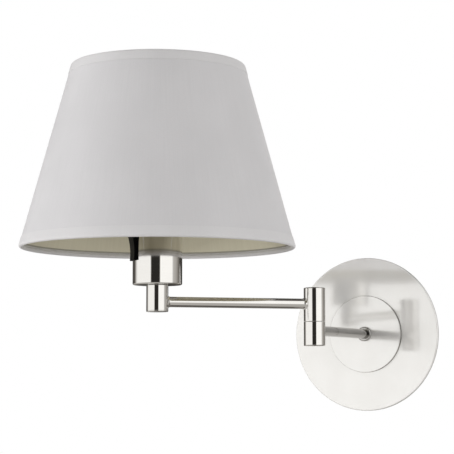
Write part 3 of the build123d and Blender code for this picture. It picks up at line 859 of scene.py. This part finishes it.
def make_rocker():
    """Two shallow dished faces that meet at a ridge over the pivot, rounded all round."""
    tilt = rocker_throw / 2
    half = 13.5 * MM
    thick = 4.0 * MM
    hub = 3.2 * MM
    proud = 1.3 * MM
    dish = 0.35 * MM
    vertex = (cup_r + proud - rocker_out) / cos(tilt)
    root = vertex - thick / cos(tilt)
    tip = (vertex + half * sin(tilt), half * cos(tilt))
    heel = (tip[0] - thick * cos(tilt), tip[1] + thick * sin(tilt))
    neck = (root + hub * sin(tilt), hub * cos(tilt))
    front = [(vertex, 0)]
    steps = 5
    for k in range(1, steps + 1):
        share = k / steps
        front.append((vertex + share * half * sin(tilt) - dish * sin(pi * share), share * half * cos(tilt)))
    upper = front + [heel, neck, (0, hub)]
    lower = [(x, -z) for x, z in reversed(upper) if z]
    pressed = HEAD @ Matrix.Translation((0, -rocker_out, rocker_pivot.z)) @ Matrix.Rotation(-pi / 2, 4, "Z")
    pressed = pressed @ Matrix.Rotation(tilt, 4, "Y") @ Matrix.Rotation(pi / 2, 4, "X")
    rocker = extruded(
        "rocker_button", upper + lower, pressed, rocker_half_width, finishes["black_plastic"], 0.5 * MM
    )
    return finished(rocker, "rocker", "black_plastic", "rocker")


def make_skirt(relief):
    """Threaded neck of the lampholder, over the flange that lies on its base."""
    low, high = height_of("lampholder_skirt")
    flange = half_width("lampholder_skirt")
    neck = 19.8 * MM
    bore = half_width("screw_shell") + hair
    cup_top = height_of("lampholder_cup")[1]
    floor_hole = 6.0 * MM
    floor_top = low + 1.5 * MM
    thread_pitch = 2.2 * MM
    rows = 96
    start = cup_top + 1.5 * MM
    side = [(neck, start + (high - start) * k / rows) for k in range(rows)]
    outline = [(floor_hole, low), (flange, low), (flange, cup_top), (neck, cup_top)] + side
    outline += [(neck, high), (bore, high), (bore, floor_top), (floor_hole, floor_top)]
    blank = lathe("blank", outline, Matrix.Identity(4), finishes["holder_plastic"], 96)
    skirt = relief.grow(
        "lampholder_skirt_neck", HEAD, blank, Count=1.0, Turns_Per_Metre=1 / thread_pitch, Depth=0.7 * MM,
        Beyond=0.5 * (bore + neck), Low=start, High=high, Fade=1.6 * MM, Material=finishes["holder_plastic"],
    )
    return finished(skirt, "head", "holder_plastic", "lampholder_skirt")


def make_screw_shell(relief):
    """Pressed shell with the rolled thread that takes the lamp's cap."""
    low, high = height_of("screw_shell")
    outer = half_width("screw_shell")
    wall = 0.6 * MM
    thread_pitch = 3.62 * MM
    rows = 110
    outside = [(outer, low + (high - low) * k / rows) for k in range(rows + 1)]
    inside = [(radius - wall, height) for radius, height in reversed(outside)]
    blank = lathe("blank", outside + inside, Matrix.Identity(4), finishes["contact_nickel"], 96)
    shell = relief.grow(
        "screw_shell_rolled", HEAD, blank, Count=1.0, Turns_Per_Metre=1 / thread_pitch, Depth=1.2 * MM,
        Beyond=0.0, Low=low, High=high, Fade=2.5 * MM, Material=finishes["contact_nickel"],
    )
    return finished(shell, "head", "contact_nickel", "screw_shell")


def make_shade_ring(relief):
    """Ring with finger grips that screws the shade down."""
    low, high = height_of("shade_ring")
    outer = half_width("shade_ring")
    bore = 19.85 * MM
    outline = rounded(
        (bore, low, 0), (outer, low, 0.4 * MM), (outer, high - 0.2 * MM, 0.5 * MM),
        (outer - 1.6 * MM, high, 0.4 * MM), (bore + 1.0 * MM, high, 0.3 * MM), (bore, high - 1.0 * MM, 0),
    )
    blank = lathe("blank", outline, Matrix.Identity(4), finishes["holder_plastic"], 288)
    ring = relief.grow(
        "shade_ring_grip", HEAD, blank, Count=24.0, Turns_Per_Metre=0.0, Depth=0.9 * MM,
        Beyond=outer - 1.2 * MM, Low=low - 1 * MM, High=high + 1 * MM, Fade=0.5 * MM,
        Material=finishes["holder_plastic"],
    )
    return finished(ring, "head", "holder_plastic", "shade_ring")


# ---------------------------------------------------------------- shade
wire_r = (height_of("bottom_wire")[1] - height_of("bottom_wire")[0]) / 2
low_wire = Vector((half_width("bottom_wire") - wire_r, height_of("bottom_wire")[0] + wire_r))
high_wire = Vector((half_width("top_wire") - wire_r, height_of("top_wire")[0] + wire_r))
slope = (high_wire - low_wire).normalized()
outward = Vector((slope.y, -slope.x))
cloth_t = 0.45 * MM
liner_t = 0.8 * MM
trim_t = 0.42 * MM
trim_outside = 7.5 * MM
trim_inside = 2.9 * MM
cloth_in = wire_r + 0.05 * MM
cloth_out = cloth_in + cloth_t


def beside(wire, out, up):
    """Point at a distance out from a wire's middle, square to the cloth, and up along the cloth."""
    return wire + outward * out + slope * up


def make_sheet(name, cone, nodes, out, thickness, from_wire, material, start=0.0, sweep=FULL, columns=193):
    """A cone of sheet from just above the bottom wire to just below the top one."""
    low = beside(low_wire, out, from_wire)
    high = beside(high_wire, out, -from_wire)
    piece = cone.grow(
        name, HEAD, Low_Radius=low.x, High_Radius=high.x, Low=low.y, High=high.y, Thickness=thickness,
        Start=start, Sweep=sweep, Columns=columns, Rows=17, Material=finishes[material],
    )
    return finished(piece, "head", material, *nodes)


def make_trim(name, wire, way):
    """Cloth band folded over a wire: stuck to the cloth outside and to the liner inside."""
    glue = 0.02 * MM
    near = cloth_out + glue
    far = near + trim_t
    back = wire_r - liner_t - glue
    turn_in = wire_r + 0.1 * MM
    fold_start = 0.5 * MM
    outer = [(far - 0.12 * MM, trim_outside), (far, trim_outside - 0.2 * MM), (far, fold_start)]
    inner = [(near, fold_start), (near, trim_outside - 0.05 * MM)]
    steps = 16
    arc = [radians(220 * k / steps) for k in range(steps + 1)]

    def fold(outside, inside, turns):
        reach, middle = (outside + inside) / 2, (outside - inside) / 2
        return [(reach * cos(turn) + middle, -outside * sin(turn)) for turn in turns]

    turn_out = fold(far, turn_in + trim_t, arc)
    turn_back = fold(near, turn_in, reversed(arc))
    tail = [
        (back - trim_t, 2.2 * MM), (back - trim_t, trim_inside - 0.15 * MM), (back - trim_t / 2, trim_inside),
        (back, trim_inside - 0.1 * MM), (back, 2.4 * MM),
    ]
    section = outer + turn_out + tail + turn_back + inner
    outline = [beside(wire, out, way * up) for out, up in section]
    trim = lathe(name, [(p.x, p.y) for p in outline], HEAD, finishes["shade_trim"], 192, sharp=60)
    return finished(trim, "head", "shade_fabric")


def make_shade():
    cone = cone_sheet_shape()
    overlap = 11 * MM
    seam_at = radians(100)
    seam_sweep = overlap / (low_wire.x + high_wire.x) * 2
    seam_t = 0.22 * MM
    on_cloth = cloth_out + 0.01 * MM
    cloth = make_sheet("shade_cloth", cone, ["shade_fabric"], cloth_in, cloth_t, 0.0, "shade_fabric")
    make_sheet("shade_lining", cone, ["shade_liner"], wire_r - liner_t, liner_t, wire_r, "shade_liner")
    seam = make_sheet(
        "shade_seam", cone, [], on_cloth, seam_t, 1.0 * MM, "shade_fabric", seam_at, seam_sweep, columns=9
    )
    trims = [make_trim("bottom_trim", low_wire, 1), make_trim("top_trim", high_wire, -1)]


def make_shade_frame():
    lacquer = finishes["shade_wire"]
    ring = wire_ring_shape()
    for node, wire in (("top_wire", high_wire), ("bottom_wire", low_wire)):
        sizes = {"Radius": wire.x, "Thickness": wire_r, "Height": wire.y}
        finished(ring.grow(node + "_ring", HEAD, Material=lacquer, **sizes), "head", "shade_wire", node)
    low, high = height_of("shade_hub")
    outer = half_width("shade_hub")
    bore = 19.9 * MM
    outline = rounded(
        (bore, low, 0.2 * MM), (outer, low, 0.5 * MM), (outer, high, 0.5 * MM), (bore, high, 0.2 * MM),
    )
    finished(lathe("shade_hub_ring", outline, HEAD, lacquer), "head", "shade_wire", "shade_hub")
    spoke_r = 1.1 * MM
    first_spoke = radians(46.6)
    on_hub = (outer - 3.2 * MM, 0, low - 0.8 * MM)
    on_wire = (low_wire.x - 0.4 * MM, 0, low_wire.y + 0.2 * MM)
    spokes = spokes_shape().grow(
        "shade_spoke_rods", HEAD, Count=3, First=first_spoke, Thickness=spoke_r, Start=on_hub, End=on_wire,
        Material=lacquer,
    )
    finished(spokes, "head", "shade_wire", "shade_spokes")


# ---------------------------------------------------------------- making it all
make_rosette()
make_collar()
make_wall_arm()
make_elbow()
make_head_knuckle()
make_end_cap("elbow_bottom_button", "elbow_bottom_cap", ELBOW, "wall", -1, 0.6 * MM)
make_end_cap("elbow_top_button", "elbow_top_cap", ELBOW, "swing", 1, 0.6 * MM)
make_end_cap("knuckle_button", "knuckle_cap", HEAD, "swing", -1, 0.2 * MM)
make_swing_arm()
make_cup()
make_rocker()
turned_relief = relief_shape()
make_skirt(turned_relief)
make_screw_shell(turned_relief)
make_shade_ring(turned_relief)
make_shade_frame()
make_shade()

slot_of = {entry["node"]: entry["material_slot"] for entry in frame["record"]["subparts"]}
for node, part in frame["nodes"].items():
    slot = slot_of[node]
    part.data.materials[0] = finishes["wall_nickel" if slot == "satin_nickel" else slot]


# ---------------------------------------------------------------- floor, light and camera
def make_floor():
    """Pale floor at its distance under a wall lamp; it lights nothing and the metal doesn't mirror it."""
    data = bpy.data.meshes.new("floor")
    half = 14.0
    drop = 1.35
    height = cad_box[0].z - drop
    corners = [(-half, -half, height), (half, -half, height), (half, half, height), (-half, half, height)]
    data.from_pydata(corners, [], [(0, 1, 2, 3)])
    finish = Finish("floor_paint")
    cloud = finish.noise(finish.objects, 3.0, detail=5.0)
    data.materials.append(finish.surface(
        Base_Color=finish.mix(cloud, (0.86, 0.86, 0.86, 1), (0.89, 0.89, 0.885, 1)), Roughness=0.8,
        Emission_Color=(1.0, 1.0, 0.995, 1), Emission_Strength=0.45,
    ))
    floor = bpy.data.objects.new("floor", data)
    scene.collection.objects.link(floor)
    floor.visible_glossy = False
    floor.visible_diffuse = False


def make_studio():
    """White surround, with the dark and bright screens that the polished metal shows."""
    world = bpy.data.worlds.new("studio")
    world.use_nodes = True
    scene.world = world
    tree = Tree(world.node_tree)
    x, y, z = tree.split(tree.node("ShaderNodeTexCoord").outputs["Generated"])
    front = radians(-61)                                # way from the lamp to where it is seen from
    degree = pi / 180
    ahead = x * cos(front) + y * sin(front)
    aside = y * cos(front) - x * sin(front)
    turn = aside.math("ARCTAN2", ahead) * (1 / degree)
    rise = z.math("ARCSINE") * (1 / degree)

    # dark and bright screens round the lamp, by their soft edges in degrees from the front
    gap = turn.between(-33.0, -27.0) * turn.between(16.0, 10.0)
    step = turn.between(9.0, 12.0) * turn.between(21.0, 16.0)
    fall = turn.between(70.0, 82.0)
    back = turn.between(84.0, 134.0)
    left_end = turn.between(-102.0, -132.0)
    level = 1.12 + turn.between(0.0, 30.0) * 0.10 - fall * (0.68 - rise.between(6.0, 24.0) * 0.35)
    level = level * (1 - back * 0.9) * (1 - left_end * 0.92)
    level = level * (1 - gap * 0.975) + step * 0.12

    # what hangs over the lamp and what lies under it, by their soft edges in degrees of height
    overhead = rise.between(48.0, 62.0)
    below = rise.between(-6.0, -16.0)
    under = rise.between(-64.0, -78.0)
    ceiling = 0.10
    ground = (0.52 - fall * 0.34) * (1 - under * 0.85)
    level = level * (1 - overhead) * (1 - below) + overhead * ceiling + below * (1 - overhead) * ground
    seen = tree.node("ShaderNodeBackground", None, {"Color": (1, 1, 1, 1), "Strength": 1.0})
    colour = tree.mix(level.between(0.0, 0.9), (1.0, 0.93, 0.84, 1), (1.0, 0.995, 0.98, 1))
    around = tree.node("ShaderNodeBackground", None, {"Color": colour, "Strength": level})
    direct = tree.node("ShaderNodeLightPath").outputs["Is Camera Ray"]
    both = tree.node("ShaderNodeMixShader", None, {0: direct, 1: around.outputs[0], 2: seen.outputs[0]})
    tree.node("ShaderNodeOutputWorld", None, {0: both.outputs[0]})


def make_lamp_light(name, place, aim, size, power):
    """Soft studio light that the metal doesn't mirror."""
    data = bpy.data.lights.new(name, "AREA")
    data.size = size
    data.energy = power
    light = bpy.data.objects.new(name, data)
    scene.collection.objects.link(light)
    light.location = place
    light.rotation_euler = (Vector(aim) - Vector(place)).to_track_quat("-Z", "Y").to_euler()
    light.visible_glossy = False


def make_camera():
    data = bpy.data.cameras.new("camera")
    data.lens = 128.964
    data.sensor_width = 36.0
    camera = bpy.data.objects.new("camera", data)
    scene.collection.objects.link(camera)
    camera.location = (0.61207, -1.51347, -0.04829)
    camera.rotation_euler = (radians(90 + 5.471), 0, radians(26.915))
    scene.camera = camera


scene.view_settings.view_transform = "Standard"
make_floor()
make_studio()
shade_middle = (head.x, head.y, sum(height_of("shade_fabric")) / 2)
make_lamp_light("left_softbox", (-1.3, -1.25, 0.1), shade_middle, 0.8, 12.0)
make_lamp_light("right_softbox", (1.4, 0.1, 0.1), shade_middle, 0.8, 4.4)
make_lamp_light("low_fill", (0.5, -1.0, -0.6), shade_middle, 1.2, 2.5)
make_lamp_light("rear_fill", (0.1, 1.3, 0.2), shade_middle, 0.8, 9.0)
make_camera()
